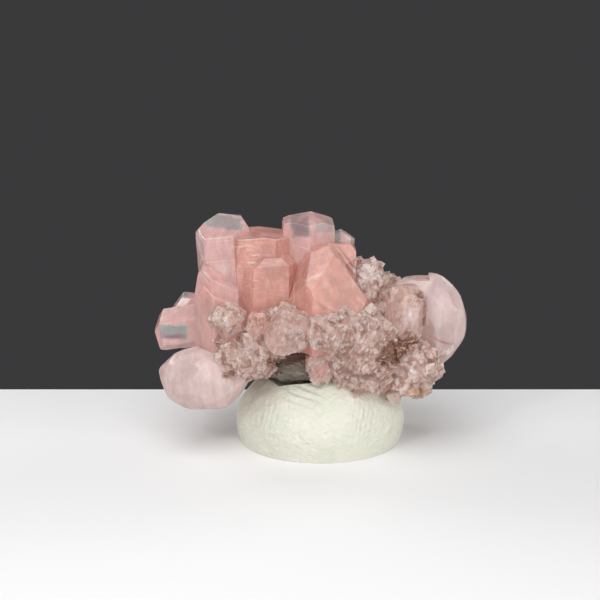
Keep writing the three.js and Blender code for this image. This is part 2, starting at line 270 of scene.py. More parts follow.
DRUSE_STRAY = 0.55  # how far it leans from straight out
DRUSE_HOST = 0.5  # how closely the grains stand on it, beside those on the lumps
RHOMB_ANGLE = 45  # between its faces and its axis

GRAIN_SMALL = 0.55  # width of the smallest grain, as a share of the grain size
GRAIN_LARGE = 1.3  # how much wider the largest is
GRAIN_SINK = 0.45  # how deep a grain's middle sits, as a share of its width
GRAIN_DRIFT = 1.8  # how far neighbouring patches of grains point apart
GRAIN_OUTWARD = 0.5  # how strongly the surface turns them outwards
GRAIN_STRAY = 0.22  # how far each strays from its patch, in radians
GRAIN_PATCHES = 420.0  # how many patches there are to a metre
GRAIN_THIN = (0.55, 1.1)  # its least and greatest thickness, as a share of its width
GRAIN_TALL = (0.6, 1.2)  # the same for its length
GRAIN_SEEDS = {"place": 12, "width": 11, "thin": 8, "tall": 3, "stray": 5}
FEWEST_FACES = 1000  # fewer say that the crystals' union has failed

ROCK_CENTRE = (-2.7, -0.9, 8.7)
ROCK_RADII = (3.7, 4.5, 2.1)
ROCK_CORNERS = 46
ROCK_ROUGHNESS = 0.16
ROCK_SEED = 31
ROCK_CUTS = 7
ROCK_WORN = 0.5  # how deep its surface is broken
ROCK_FEATURES = 1.3
ROCK_FRACTAL = (0.8, 2.1, 6)  # the broken surface's roughness, step and octaves
ROCK_BEDDED = 0.1  # how much smaller its seat in the calcite is than the unbroken rock
ROCK_CLEARANCE = 0.35  # how far it stands clear of the putty

MOUND_RADII = (8.2, 7.3)
MOUND_HEIGHT = 8.8
MOUND_BULGE = 0.5
MOUND_BULGE_TOP = 0.67
MOUND_ROUNDNESS = 3  # higher is more upright at the foot and flatter at the top
MOUND_SHIFT = 0.9  # how far the top leans to the right
MOUND_SEGMENTS = 240
MOUND_RINGS = 84
HOLLOW_CENTRE = (0.6, 0.4, 13.6)
HOLLOW_RADII = (9.8, 8.8, 6.4)
HOLLOW_DETAIL = 6
DENT_FALLOFF = 2
KNEADED = 0.16  # how far the putty's surface sinks between its soft lumps
KNEAD_START = 4  # it sinks less at the foot, and fully from 1 / 4 of the height up
KNEAD_FEATURES = 0.7
KNEAD_FRACTAL = (0.9, 2.0, 4)
DENTS = (  # azimuth from the front, height, depth, reach
    (-62, 4.6, 0.45, 3.2),
    (-14, 5.6, 0.3, 2.2),
    (38, 3.6, 0.3, 2.8),
    (96, 4.8, 0.4, 2.6),
    (150, 3.8, 0.5, 3.0),
    (-140, 4.4, 0.45, 3.0),
)

# Faces that meet at a smaller angle than this, in degrees, are shaded as one.
CALCITE_SMOOTH = 14
ROCK_SMOOTH = 30
PUTTY_SMOOTH = 40

# ---------------------------------------------------------------- shape helpers


def jitter_stream(seed):
    """A repeatable stream of numbers from -1 to 1."""
    state = seed
    while True:
        state = (state * RANDOM_FACTOR + RANDOM_STEP) % RANDOM_RANGE
        yield 2 * state / RANDOM_RANGE - 1


def spread(i, n):
    """The direction of point i of n spread evenly over a sphere."""
    z = 1 - (2 * i + 1) / n
    ring = math.sqrt(1 - z * z)
    turn = i * GOLDEN_ANGLE
    return Vector((ring * math.cos(turn), ring * math.sin(turn), z))


def face_normal(azimuth, slope):
    """Which way a face looks that slopes from level towards this azimuth from the front."""
    turn = math.radians(azimuth)
    tilt = math.radians(slope)
    return Vector((
        math.sin(turn) * math.sin(tilt),
        -math.cos(turn) * math.sin(tilt),
        math.cos(tilt),
    ))


def times(vector, factors):
    """Two vectors multiplied part by part."""
    return Vector(v * f for v, f in zip(vector, factors))


def convex_corners(planes):
    """The corners of the convex solid inside these (normal, distance) planes."""
    corners = []
    for p, q, r in itertools.combinations(planes, 3):
        normals = Matrix((p[0], q[0], r[0]))
        if abs(normals.determinant()) < PARALLEL:
            continue
        corner = normals.inverted() @ Vector((p[1], q[1], r[1]))
        inside = all(normal.dot(corner) < distance + SAME_POINT for normal, distance in planes)
        if inside and all((corner - other).length > SAME_POINT for other in corners):
            corners.append(corner)
    return corners


def hull(corners, bevel=0):
    """A closed convex shape about these corners. Bevels are tagged, so that they are painted pale
    as lit edges.
    """
    shape = bmesh.new()
    for corner in corners:
        shape.verts.new(corner)
    bmesh.ops.convex_hull(shape, input=shape.verts)
    unused = [v for v in shape.verts if not v.link_faces]
    bmesh.ops.delete(shape, geom=unused, context="VERTS")
    if bevel:
        bmesh.ops.dissolve_limit(
            shape, angle_limit=SAME_PLANE, verts=shape.verts, edges=shape.edges
        )
        edges = list(shape.edges)
        made = bmesh.ops.bevel(
            shape, geom=edges, offset=bevel, segments=1, affect="EDGES", clamp_overlap=True
        )
        for face in made["faces"]:
            face.tag = True
    return shape


class Bodies:
    """Closed bodies gathered in one mesh, each with the face values that its material reads."""

    FACE_VALUES = ("crystal", "lens", "grain_host", "tone", "edge")

    def __init__(self):
        self.mesh = bmesh.new()
        self.values = {name: self.mesh.faces.layers.float.new(name) for name in self.FACE_VALUES}
        self.grow_way = self.mesh.faces.layers.float_vector.new("grow_way")
        self.haze_depth = self.mesh.loops.layers.float.new("haze_depth")

    def add(self, shape, way, haze=None, **values):
        """Adds a shape given in millimetres. way is where the grains on it point. haze gives a
        place on the top of a crystal's haze, and the way to its clear part."""
        lookup = {v: self.mesh.verts.new(v.co * MM) for v in shape.verts}
        for face in shape.faces:
            added = self.mesh.faces.new([lookup[v] for v in face.verts])
            for name, value in values.items():
                added[self.values[name]] = value
            added[self.grow_way] = way
            # edge marks the bevels, which the calcite's finish paints pale as a highlight
            added[self.values["edge"]] = float(face.tag)
            if haze is None:
                continue
            for loop in added.loops:
                loop[self.haze_depth] = haze[1].dot(haze[0] - loop.vert.co / MM)
        shape.free()

    def to_object(self, name):
        mesh = bpy.data.meshes.new(name)
        self.mesh.to_mesh(mesh)
        self.mesh.free()
        thing = bpy.data.objects.new(name, mesh)
        bpy.context.collection.objects.link(thing)
        return thing


def prism(crystal, drop=0, side_grow=(0,) * 6, bevel=0):
    """A crystal's shape, its point lowered by drop and its six sides moved out by side_grow."""
    twist = crystal.tilt[2]
    width, depth, length = crystal.size
    planes = [(Vector((0, 0, -1)), length)]
    for side in range(6):
        normal = face_normal(twist + 60 * side, 90)
        reach = math.hypot(width / 2 * normal.x, depth / 2 * normal.y)
        planes.append((normal, reach + side_grow[side]))
    for azimuth, slope, height in crystal.ends:
        planes.append((face_normal(azimuth, slope), height - drop))
    shape = hull(convex_corners(planes), bevel)
    turn = crystal_turn(crystal)
    for v in shape.verts:
        v.co = turn @ v.co + Vector(crystal.point)
    return shape


def crystal_turn(crystal):
    """Turns the upright crystal to its lean and pitch."""
    lean, pitch, _ = (math.radians(angle) for angle in crystal.tilt)
    return Matrix.Rotation(lean, 3, "Y") @ Matrix.Rotation(pitch, 3, "X")


def rhomb(centre, axis, twist, width):
    """A calcite rhomb of this width about centre, with its axis along axis."""
    planes = []
    for face in range(3):
        normal = face_normal(twist + 120 * face, RHOMB_ANGLE)
        planes += [(normal, width / 2), (-normal, width / 2)]
    turn = Vector((0, 0, 1)).rotation_difference(axis)
    return hull([turn @ corner + centre for corner in convex_corners(planes)])


def rounded(centre, radii, corners, roughness, seed):
    """A hull about this many corners of an ellipsoid, each moved by up to roughness."""
    jitter = jitter_stream(seed)
    points = []
    for i in range(corners):
        way = spread(i, corners)
        points.append(times(way, radii) * (1 + roughness * next(jitter)) + Vector(centre))
    return hull(points)


def worn_lens(lens, seed):
    """A lens's rounded body, its blunt facets meeting in soft edges."""
    jitter = jitter_stream(seed)
    facets = []
    for i in range(lens.facets):
        stray = Vector((next(jitter), next(jitter), next(jitter))) * FACET_STRAY
        way = (spread(i, lens.facets) + stray).normalized()
        height = 1 - FACET_DROP / lens.facets
        facets.append((way, height + FACET_UNEVENNESS * next(jitter)))
    shape = bmesh.new()
    bmesh.ops.create_icosphere(shape, subdivisions=LENS_DETAIL, radius=1)
    turn = Matrix.Rotation(math.radians(lens.roll), 3, "Y")
    for v in shape.verts:
        way = v.co.normalized()
        nearness = sum(
            max(0.0, facet.dot(way) / height) ** FACET_BLUNTNESS for facet, height in facets
        )
        reach = nearness ** (-1 / FACET_BLUNTNESS)
        v.co = turn @ times(way * reach, lens.radii) + Vector(lens.centre)
    return shape


def hollow_shape():
    """The ellipsoid that is pressed into the putty under the cluster."""
    shape = bmesh.new()
    bmesh.ops.create_icosphere(shape, subdivisions=HOLLOW_DETAIL, radius=1)
    for v in shape.verts:
        v.co = times(v.co, HOLLOW_RADII) + Vector(HOLLOW_CENTRE)
    return shape


def cut_flat(shape, point, normal):
    """Takes off what lies beyond the plane and closes the cut."""
    geometry = shape.verts[:] + shape.edges[:] + shape.faces[:]
    cut = bmesh.ops.bisect_plane(
        shape, geom=geometry, plane_co=point, plane_no=normal, clear_outer=True
    )
    rim = [e for e in cut["geom_cut"] if isinstance(e, bmesh.types.BMEdge)]
    bmesh.ops.edgeloop_fill(shape, edges=rim)
    bmesh.ops.triangulate(shape, faces=shape.faces)
    bmesh.ops.recalc_face_normals(shape, faces=shape.faces)


# ---------------------------------------------------------------- nodes


def maths(operation, swapped=False):
    """A method of Wire that adds this Math node to the wire's tree."""

    def method(self, other):
        first, second = (other, self) if swapped else (self, other)
        inputs = {"Value": first, "Value_001": second}
        return self.tree.add("ShaderNodeMath", inputs, operation=operation)

    return method


class Wire:
    """An output socket. Arithmetic on it adds Math nodes to its tree."""

    __add__ = maths("ADD")
    __radd__ = maths("ADD", swapped=True)
    __sub__ = maths("SUBTRACT")
    __rsub__ = maths("SUBTRACT", swapped=True)
    __mul__ = maths("MULTIPLY")
    __rmul__ = maths("MULTIPLY", swapped=True)
    __truediv__ = maths("DIVIDE")
    __pow__ = maths("POWER")
    most = maths("MAXIMUM")
    least = maths("MINIMUM")

    def __init__(self, tree, socket):
        self.tree = tree
        self.socket = socket

    def out(self, name):
        """Another output of the same node."""
        return Wire(self.tree, self.socket.node.outputs[name])

    def clamped(self):
        return self.most(0.0).least(1.0)


def highest(wires):
    """The highest of some wires, place by place."""
    return functools.reduce(Wire.most, wires)


class Tree:
    """A node tree, with the ways to fill it."""

    def __init__(self, nodes):
        self.tree = nodes

    def add(self, kind, inputs=None, output=None, **settings):
        """Adds a node with a value or a Wire, or several, for each named input."""
        node = self.tree.nodes.new(kind)
        for name, value in settings.items():
            setattr(node, name, value)
        for name, value in (inputs or {}).items():
            socket = self.named(node.inputs, name)
            for item in value if isinstance(value, list) else [value]:
                if isinstance(item, Wire):
                    self.tree.links.new(item.socket, socket)
                else:
                    socket.default_value = item
        return Wire(self, self.named(node.outputs, output)) if node.outputs else None

    @staticmethod
    def named(sockets, name):
        """The socket in use with this identifier or name, or the first where there is no name."""
        return next(s for s in sockets if s.enabled and name in (None, s.identifier, s.name))

    def vector(self, operation, first, second=None, scale=None, output=None):
        """Vector Math on one or two vectors."""
        inputs = {"Vector": first}
        if second is not None:
            inputs["Vector_001"] = second
        if scale is not None:
            inputs["Scale"] = scale
        return self.add("ShaderNodeVectorMath", inputs, output, operation=operation)

    def stored(self, name, kind="FLOAT"):
        """A value that is stored on the mesh."""
        inputs = {"Name": name}
        return self.add("GeometryNodeInputNamedAttribute", inputs, "Attribute", data_type=kind)

    def random(self, low, high, seed, kind="FLOAT"):
        """A random value from low to high for each element."""
        inputs = {"Min": low, "Max": high, "Seed": seed}
        return self.add("FunctionNodeRandomValue", inputs, data_type=kind)

    def boolean(self, operation, inputs):
        """Joins closed meshes, or cuts one from another."""
        return self.add(
            "GeometryNodeMeshBoolean", inputs, "Mesh", operation=operation, solver="MANIFOLD"
        )


class Shader(Tree):
    """A material's tree, with the few patterns that several finishes share."""

    def __init__(self, name):
        material = bpy.data.materials.new(name)
        material.use_nodes = True
        material.node_tree.nodes.clear()
        super().__init__(material.node_tree)
        self.material = material
        self.place = self.add("ShaderNodeTexCoord", output="Object")

    def noise(self, scale, detail=3.0, roughness=0.55, stretch=(1, 1, 1), distortion=0.0):
        """Clouds with about this many features a metre, squeezed by stretch."""
        inputs = {
            "Vector": self.add("ShaderNodeMapping", {"Vector": self.place, "Scale": stretch}),
            "Scale": scale,
            "Detail": detail,
            "Roughness": roughness,
            "Distortion": distortion,
        }
        return self.add("ShaderNodeTexNoise", inputs)

    def attribute(self, name):
        """A face's or corner's value that the mesh carries."""
        return self.add("ShaderNodeAttribute", output="Fac", attribute_name=name)

    def ease(self, value, low, high, to_low=0.0, to_high=1.0):
        """Turns low..high into to_low..to_high with soft ends."""
        inputs = {"Value": value, "From Min": low, "From Max": high}
        inputs |= {"To Min": to_low, "To Max": to_high}
        return self.add("ShaderNodeMapRange", inputs, interpolation_type="SMOOTHSTEP")

    def away(self, centre):
        """The vector to each point from a place in millimetres."""
        return self.vector("SUBTRACT", self.place, tuple(MM * c for c in centre))

    def near(self, centre, radii):
        """1 at a place in the object, fading to 0 at radii from it."""
        away = self.away(centre)
        scaled = self.vector("MULTIPLY", away, tuple(1 / (MM * r) for r in radii))
        length = self.vector("LENGTH", scaled, output="Value")
        return self.ease(length, 1.0, 0.0)

    def spots(self, table):
        """The strongest at each place of a table of (centre, reach, strength)."""
        return highest(self.near(centre, reach) * strength for centre, reach, strength in table)

    def pane(self, centre, reach, slant, waver):
        """1 in a slanted box in the object, fading to 0 at its wavering sides."""
        inputs = {
            "Vector": self.place,
            "Location": tuple(MM * c for c in centre),
            "Rotation": (0, math.radians(slant), 0),
            "Scale": tuple(MM * r for r in reach),
        }
        inside = self.add("ShaderNodeMapping", inputs, vector_type="TEXTURE")
        far = self.add("ShaderNodeSeparateXYZ", {"Vector": self.vector("ABSOLUTE", inside)})
        farthest = far.most(far.out("Y")).most(far.out("Z")) + PANE_WAVER * waver
        return self.ease(farthest, *PANE_FADE)

    def seam(self, centre, slope, reach, width):
        """A thin wavering line on the front, at this slope to the right: 1 along it."""
        turn = math.radians(slope)
        normal = (-math.sin(turn), 0, math.cos(turn))
        across = self.vector("DOT_PRODUCT", self.away(centre), normal, output="Value")
        off = across / MM + SEAM_WAVER * (self.noise(SEAM_WAVES, 2.0) - 0.5)
        off = off.most(0 - off)
        return self.ease(off, width, 0.0) * self.near(centre, (reach, SEAM_DEPTH, reach))

    def bands(self, gap, slant, waver):
        """Wavering rows this many millimetres apart, slanted from level: 0 and 1 in turn."""
        slanted = {"Vector": self.place, "Rotation": (0, math.radians(slant), 0)}
        inputs = {
            "Vector": self.add("ShaderNodeMapping", slanted),
            "Scale": WAVE_GAP / (gap * MM),
            "Distortion": waver,
            "Detail": 1.0,
            "Detail Scale": 0.6,
        }
        return self.add(
            "ShaderNodeTexWave", inputs, "Fac", wave_type="BANDS", bands_direction="Z"
        )

    def cells(self, scale, output="Distance"):
        """Small cells, about this many a metre: how far each place is from its cell's middle,
        or with output Color one random value, 0 to 1, for each cell."""
        inputs = {"Vector": self.place, "Scale": scale}
        return self.add("ShaderNodeTexVoronoi", inputs, output, feature="F1")

    def blend(self, factor, first, second):
        """Mixes two colours."""
        inputs = {"Factor_Float": factor, "A_Color": rgba(first), "B_Color": rgba(second)}
        return self.add("ShaderNodeMix", inputs, data_type="RGBA", blend_type="MIX")

    def layers(self, colour, rows):
        """Lays each of the rows (how strong, colour) over what lies below."""
        for strength, over in rows:
            colour = self.blend(strength, colour, over)
        return colour

    def bump(self, height, strength, distance):
        """A bump this many millimetres high."""
        inputs = {"Height": height, "Strength": strength, "Distance": distance * MM}
        return self.add("ShaderNodeBump", inputs)

    def mixed(self, factor, first, second):
        """Mixes two shaders."""
        inputs = {"Fac": factor, "Shader": first, "Shader_001": second}
        return self.add("ShaderNodeMixShader", inputs)

    def principled(self, colour, roughness, more=()):
        """The usual surface, with more of its inputs."""
        inputs = {"Base Color": rgba(colour), "Roughness": roughness, **dict(more)}
        return self.add("ShaderNodeBsdfPrincipled", inputs)

    def finish(self, surface, volume=None):
        """Puts the surface, and a volume if there is one, on the material."""
        inputs = {"Surface": surface}
        if volume:
            inputs["Volume"] = volume
        self.add("ShaderNodeOutputMaterial", inputs)
        return self.material


def rgba(colour):
    """A colour with its alpha, or a wire as it is."""
    return colour if isinstance(colour, Wire) else (*colour, 1.0)


# ---------------------------------------------------------------- finishes

GLOW = 0.35  # how much of the light on hazy crystal goes on through it
CALCITE_IOR = 1.6
WAVE_GAP = 0.314  # a wave texture's rows stand this far apart at scale 1
PANE_WAVER = 0.7  # how far the sides of a window waver, as a share of its reach
PANE_FADE = (1.2, 0.72)  # where a window starts and where it is fully clear
SEAM_WAVES = 700  # how many waves a seam has to a metre
SEAM_WAVER = 0.6  # how far it wavers
SEAM_DEPTH = 9.0  # how deep it goes, front to back

# Films, stains and cloudy zones: centre and reach in millimetres, and how strong.
RUST = (  # dark brown film
    # the first, strongest film is partly painted shade: besides the brown stain it darkens the
    # shaded recess right of the middle
    ((6.8, -5.5, 10.9), (2.5, 7.0, 2.0), 2.6),
    ((8.6, -5.0, 11.8), (1.9, 7.0, 1.8), 1.5),
    ((10.1, -5.2, 13.9), (0.7, 7.0, 2.4), 0.9),
    ((9.7, -5.0, 16.2), (0.8, 7.0, 1.3), 0.8),
    ((8.3, -5.0, 17.5), (1.8, 7.0, 0.8), 0.7),
    ((-2.2, -6.0, 10.0), (1.8, 6.0, 0.9), 0.9),
    ((-4.6, -5.5, 9.9), (1.6, 5.0, 1.4), 0.9),
    ((-7.8, -5.0, 12.5), (1.0, 5.0, 1.0), 1.2),
    ((-9.0, -5.5, 8.6), (1.8, 4.0, 0.9), 1.0),
)
PLUM_SHADE = (  # painted shade: dusky purple-brown darkening of the druse's recesses
    ((6.9, -5.5, 10.9), (3.0, 8.0, 2.6), 1.3),
    ((3.6, -5.5, 9.0), (4.2, 8.0, 2.0), 1.0),
    ((-2.6, -6.5, 13.0), (1.7, 6.0, 1.7), 0.7),
    ((-5.0, -5.5, 9.4), (3.2, 8.0, 2.0), 0.9),
    ((2.0, -5.0, 14.4), (1.6, 6.0, 1.5), 0.6),
)
AMBER = (  # thin yellow-brown film
    ((-9.2, -4.5, 5.8), (2.6, 5.0, 1.8), 0.7),
    ((2.2, -6.0, 12.4), (3.0, 7.0, 1.8), 0.7),
    ((9.4, -4.5, 6.8), (2.4, 7.0, 1.0), 1.1),
    ((6.0, -4.5, 7.0), (4.2, 7.0, 1.2), 0.7),
    ((-9.1, -4.5, 14.0), (1.8, 6.0, 1.3), 0.6),
    ((8.0, -4.6, 15.8), (2.2, 6.0, 2.4), 0.6),
    ((11.6, -2.0, 12.6), (2.4, 6.0, 2.6), 0.45),
    ((11.6, -2.0, 9.6), (2.8, 6.0, 1.8), 0.55),
)
WINDOWS = (  # clear patches: centre, reach, slant and how clear
    ((-9.45, 0.0, 22.4), (1.85, 8.0, 0.48), 3, 1.0),
    ((-1.95, 0.0, 22.1), (0.9, 8.0, 0.8), -8, 0.85),
    ((0.4, 0.0, 22.1), (0.9, 8.0, 0.45), 8, 0.5),
    ((1.7, 4.6, 20.1), (0.4, 2.4, 0.65), 0, 1.0),
    ((-14.5, -1.0, 11.6), (1.35, 8.0, 0.75), 4, 1.0),
    ((-13.6, 2.9, 13.9), (0.6, 1.9, 0.6), 35, 1.0),
)
DARK_REFRACTION = (  # painted dark refraction: where a clear window is painted dark grey-purple, for the dark studio seen through it
    ((-1.9, 0.0, 22.1), (1.9, 9.0, 1.8), 1.0),
    ((-14.4, -1.0, 11.2), (2.4, 9.0, 0.5), 1.3),
)
LILAC = (  # cooler, duller pink
    ((-9.7, -1.0, 20.2), (1.7, 5.0, 1.7), 0.9),
    ((-2.0, -1.0, 20.8), (1.5, 4.0, 1.6), 0.9),
    ((0.5, -1.0, 21.6), (1.5, 4.0, 1.2), 0.7),
    ((11.6, -2.0, 15.6), (3.2, 6.0, 2.6), 1.4),
    ((-12.6, -4.0, 7.2), (2.4, 5.0, 1.8), 0.8),
)
FROST = (  # pale streaks
    ((13.9, -1.4, 13.4), (1.0, 6.0, 2.6), 0.9),
    ((12.6, -1.4, 10.1), (2.2, 6.0, 1.7), 1.3),
    ((-14.6, -3.5, 8.2), (1.3, 6.0, 1.5), 1.0),
    ((-9.2, -2.0, 18.4), (1.6, 6.0, 1.9), 1.0),
    ((-11.0, -3.5, 17.0), (1.1, 5.0, 1.0), 0.4),
    ((-9.3, -5.0, 14.4), (1.8, 5.0, 1.5), 1.5),
    ((8.8, -5.2, 14.4), (1.3, 5.0, 1.8), 0.9),
    ((4.8, -5.0, 13.7), (1.9, 5.0, 2.0), 1.3),
    ((9.2, -5.2, 9.0), (1.7, 5.0, 2.2), 1.1),
    ((4.9, -2.4, 18.0), (3.2, 6.0, 2.6), 2.2),
    ((2.9, 4.2, 20.2), (1.2, 3.0, 1.4), 1.5),
)
# Single zones: centre and reach.
CREAM = ((-9.2, -5.3, 14.5), (1.9, 5.0, 1.5))  # the cream-coloured patch
VEILS = ((-7.0, -3.0, 19.2), (2.6, 6.0, 3.2))  # fine pale flecks in the broad block
DISC_FOOT = ((10.3, -3.0, 7.7), (2.8, 6.0, 2.7))  # the disc's duller, grooved foot
BLUSH = ((-5.3, -5.0, 14.0), (2.4, 5.0, 2.4))  # salmon druse left of the middle
EMBER = ((0.8, -3.0, 16.2), (4.2, 5.0, 3.2))  # the warm lower part of the front wedge
SEAMS = (  # lines inside, and one pale edge painted as a highlight: centre, slope, reach, width, how strong, and the colour
    ((12.0, -2.0, 11.1), -27, 2.2, 0.22, 0.9, (0.62, 0.3, 0.26)),
    ((2.35, -3.0, 18.9), -50, 3.6, 0.24, 0.9, (0.34, 0.16, 0.14)),
    ((2.8, -3.0, 19.1), -47, 2.6, 0.18, 0.9, (0.34, 0.16, 0.14)),
    # painted highlight: the pale band along the tall left block's left edge
    ((-11.8, -1.0, 20.0), -78, 3.4, 0.6, 0.85, (1.0, 0.84, 0.84)),
    ((-0.6, -3.0, 18.2), 24, 2.0, 0.2, 0.7, (1.0, 0.8, 0.72)),
    ((-7.4, -2.0, 20.6), 4, 2.2, 0.16, 0.7, (1.0, 0.82, 0.76)),
    ((-2.6, -3.0, 16.0), 86, 2.6, 0.16, 0.6, (1.0, 0.78, 0.7)),
)


def calcite_material(look):
    """Clear pink crystal with haze below its tips, and a milky, stained druse, with painted shade,
    highlights and see-through windows.
    """
    s = Shader("calcite")
    crystal = s.attribute("crystal")
    lens = s.attribute("lens")
    tone = s.attribute("tone")
    tip = s.attribute("grain_tip")
    edge = s.attribute("edge")
    druse = (1 - crystal - lens).clamped()

    clouds = s.noise(420, 4.0, 0.6, (1, 1, 0.55))
    wisps = s.noise(1500, 3.0, 0.6, (1, 1, 0.4), 0.6)
    fine = s.noise(3200, 3.0, 0.65)
    patchy = s.noise(1100, 4.0, 0.65) - 0.5
    streaks = s.noise(1500, 4.0, 0.65, (1, 1, 0.3), 0.4) - 0.5
    grooves = s.noise(1300, 3.0, 0.6, (1, 1, 0.1), 0.3)
    shards = s.noise(1900, 3.0, 0.6, (0.45, 1, 1.6), 0.4)
    waver = s.noise(1500, 3.0, 0.6) - 0.5
    # painted glints and shade: one random value for each small cell, by which some druse cells are
    # painted near white and some dark, as facets that catch or miss the light
    facet = s.cells(2600, "Color")
    ragged = 2.0 * patchy + 0.8 * (wisps - 0.5)

    depth = s.ease(s.attribute("haze_depth") + 0.9 * (wisps - 0.5), -0.25, 0.4)
    pane = crystal * highest(s.pane(*box, waver) * clear for *box, clear in WINDOWS)
    window = (crystal * (1 - depth)).most(pane)
    dark_refraction = (0.8 * s.spots(DARK_REFRACTION)).clamped()
    crystal_haze = s.ease(clouds + 0.35 * wisps, 0.45, 0.85, 0.6, 0.92)
    crystal_haze = crystal_haze * (1 - 0.6 * window) + 0.04
    lens_haze = s.ease(clouds + 0.25 * wisps, 0.45, 0.85, 0.6, 0.9)
    druse_haze = s.ease(wisps + 0.4 * clouds, 0.5, 0.9, 0.6, 0.93) - 0.1 * tip
    haze = (crystal * crystal_haze + lens * lens_haze + druse * druse_haze).clamped()
    # bevels turn milky, to show their painted highlight
    haze = haze.most(0.4 * edge)

    films = s.spots(RUST)
    rust = s.ease(0.85 * films + ragged, 0.3, 0.8) * (1 - 0.8 * crystal)
    rust = rust * s.ease(films, 0.0, 0.2) * (1 - 0.3 * tip * druse)
    stain = s.layers(look.stain_colour, (
        (s.ease(fine, 0.4, 0.62), (0.36, 0.18, 0.1)),
        (s.ease(shards, 0.56, 0.66) * 0.7, (0.82, 0.64, 0.56)),
    ))
    # painted shade: plum darkens the druse in its shaded recesses
    plum_shade = s.ease(0.8 * s.spots(PLUM_SHADE) + ragged, 0.15, 0.85) * (1 - crystal)
    amber = s.ease(0.7 * s.spots(AMBER) + ragged, 0.2, 0.9) * (1 - 0.7 * crystal)
    frost = s.ease(0.7 * s.spots(FROST) + 2.6 * streaks, 0.4, 1.0)
    lilac = s.ease(0.7 * s.spots(LILAC) + 1.4 * patchy, 0.2, 0.8)
    veils = s.ease(s.noise(2400, 4.0, 0.6, (0.3, 1, 1.5), 0.8), 0.52, 0.66)
    veils = veils * (0.25 * crystal * tone + 0.8 * s.near(*VEILS))
    # painted shade: the druse is darkened brown low between the grains, in the crevices where
    # shade falls
    hollow = druse * s.ease(tip, 0.6, 0.0) * s.ease(clouds + patchy, 0.2, 0.65)
    foot = s.near(*DISC_FOOT)

    body = s.layers(look.pink_colour, (
        (tone, look.salmon_colour),
        (lens, look.lens_colour),
        (druse, look.druse_colour),
        (s.near(*BLUSH) * 0.6 * druse, look.salmon_colour),
        (s.near(*EMBER) * 0.55 * crystal, (0.8, 0.37, 0.27)),
        (foot * 0.75, (0.68, 0.56, 0.47)),
        (s.ease(grooves, 0.5, 0.62) * (0.5 * foot + 0.45 * lens), (0.95, 0.84, 0.8)),
        (s.ease(grooves, 0.46, 0.36) * (0.3 * foot + 0.3 * lens), (0.6, 0.37, 0.33)),
        (amber, (0.66, 0.4, 0.2)),
        # painted shade: plum-brown in the druse's recesses
        (plum_shade * 0.75, (0.36, 0.2, 0.2)),
        # painted shade: dark brown in the druse's crevices
        (hollow * 0.78, (0.36, 0.2, 0.15)),
        (s.ease(wisps, 0.5, 0.8) * 0.3, (0.9, 0.8, 0.77)),
        (frost * 0.75, (0.92, 0.85, 0.83)),
        (s.near(*CREAM) * 0.55, (0.97, 0.8, 0.68)),
        (lilac * 0.7, (0.75, 0.5, 0.52)),
        # painted glints and painted shade on the druse's small cells
        (s.ease(facet, 0.64, 0.78) * 0.65 * druse, (0.98, 0.9, 0.87)),
        (s.ease(facet, 0.38, 0.22) * 0.42 * druse, (0.46, 0.27, 0.22)),
        (veils, (0.95, 0.78, 0.72)),
        # painted highlight: pale bevels along the crystals' edges
        (edge * (0.55 - 0.4 * tone), (0.96, 0.86, 0.85)),
        *((s.seam(*line) * strength, colour) for *line, strength, colour in SEAMS),
        # painted refraction: the clear windows are painted cool grey, and dark grey-purple where
        # the dark studio shows through
        (pane, s.blend(dark_refraction, (0.7, 0.82, 0.82), (0.3, 0.22, 0.27))),
        (rust * 0.95, stain),
    ))

    rough = s.bump(fine + s.cells(3600) * druse, 0.3, 0.08)
    # the clear shader is tinted cool in the windows, as part of their painted see-through look
    clear = s.principled(
        s.blend(pane * (1 - dark_refraction), look.clear_colour, (0.84, 0.98, 0.97)),
        look.polish,
        {"IOR": CALCITE_IOR, "Transmission Weight": 1.0, "Normal": s.bump(wisps, 0.12, 0.08)},
    )
    milky = s.principled(
        body,
        0.18 * crystal + 0.3 * lens + 0.1 * druse,
        {
            "IOR": CALCITE_IOR,
            "Subsurface Weight": 0.5,
            "Subsurface Radius": (1.0, 0.6, 0.5),
            "Subsurface Scale": 0.9 * MM,
            "Normal": rough,
        },
    )
    glow = s.add("ShaderNodeBsdfTranslucent", {"Color": body, "Normal": rough})
    hazy = s.mixed(GLOW, milky, glow)
    volume = s.add(
        "ShaderNodeVolumeAbsorption",
        {"Color": rgba(look.absorb_colour), "Density": look.absorb_density},
    )
    return s.finish(s.mixed(haze.most(rust).most(frost), clear, hazy), volume)


# painted shade: where the rock's upper front is darkened dark brown, for the shaded hole there
ROCK_TOP_SHADE = ((-2.2, -5.0, 10.4), (3.4, 4.0, 1.5))


def rock_material(look):
    """Grey limestone, streaked paler, with painted dark brown shade on its upper front."""
    s = Shader("host_rock")
    clouds = s.noise(900, 5.0, 0.65)
    streaks = s.noise(700, 4.0, 0.6, (0.35, 1, 1.6), 0.5)
    grit = s.noise(4200, 3.0, 0.65)
    colour = s.layers(look.rock_colour, (
        (s.ease(streaks, 0.4, 0.68), (0.36, 0.3, 0.24)),
        (s.near(*ROCK_TOP_SHADE) * s.ease(clouds, 0.32, 0.6), (0.16, 0.08, 0.05)),
        (s.ease(grit, 0.56, 0.7) * 0.35, (0.5, 0.46, 0.42)),
    ))
    bump = s.bump(clouds + 0.5 * grit, 0.6, 0.12)
    return s.finish(s.principled(colour, 0.6, {"Normal": bump}))


# Where the putty is creased in rows, where fingers have left their ridges, and where there is a
# reddish smear and a dark speck: centre and reach.
CREASES = ((-1.7, -6.2, 6.6), (3.4, 6.0, 1.7))
FINGER_MARKS = (
    ((4.6, -6.4, 4.6), (2.8, 3.5, 3.0)),
    ((-5.6, -5.0, 4.2), (2.6, 3.5, 3.0)),
    ((1.5, 7.0, 4.0), (3.4, 3.5, 3.0)),
)
SMEAR = ((-6.0, -4.6, 6.6), (1.4, 2.6, 1.6))
SPECK = ((4.35, -7.3, 5.1), (0.16, 1.0, 0.24))
CREASE_GAP = 0.62
CREASE_SLANT = -14
RIDGE_GAP = 0.47
RIDGE_SLANT = 78


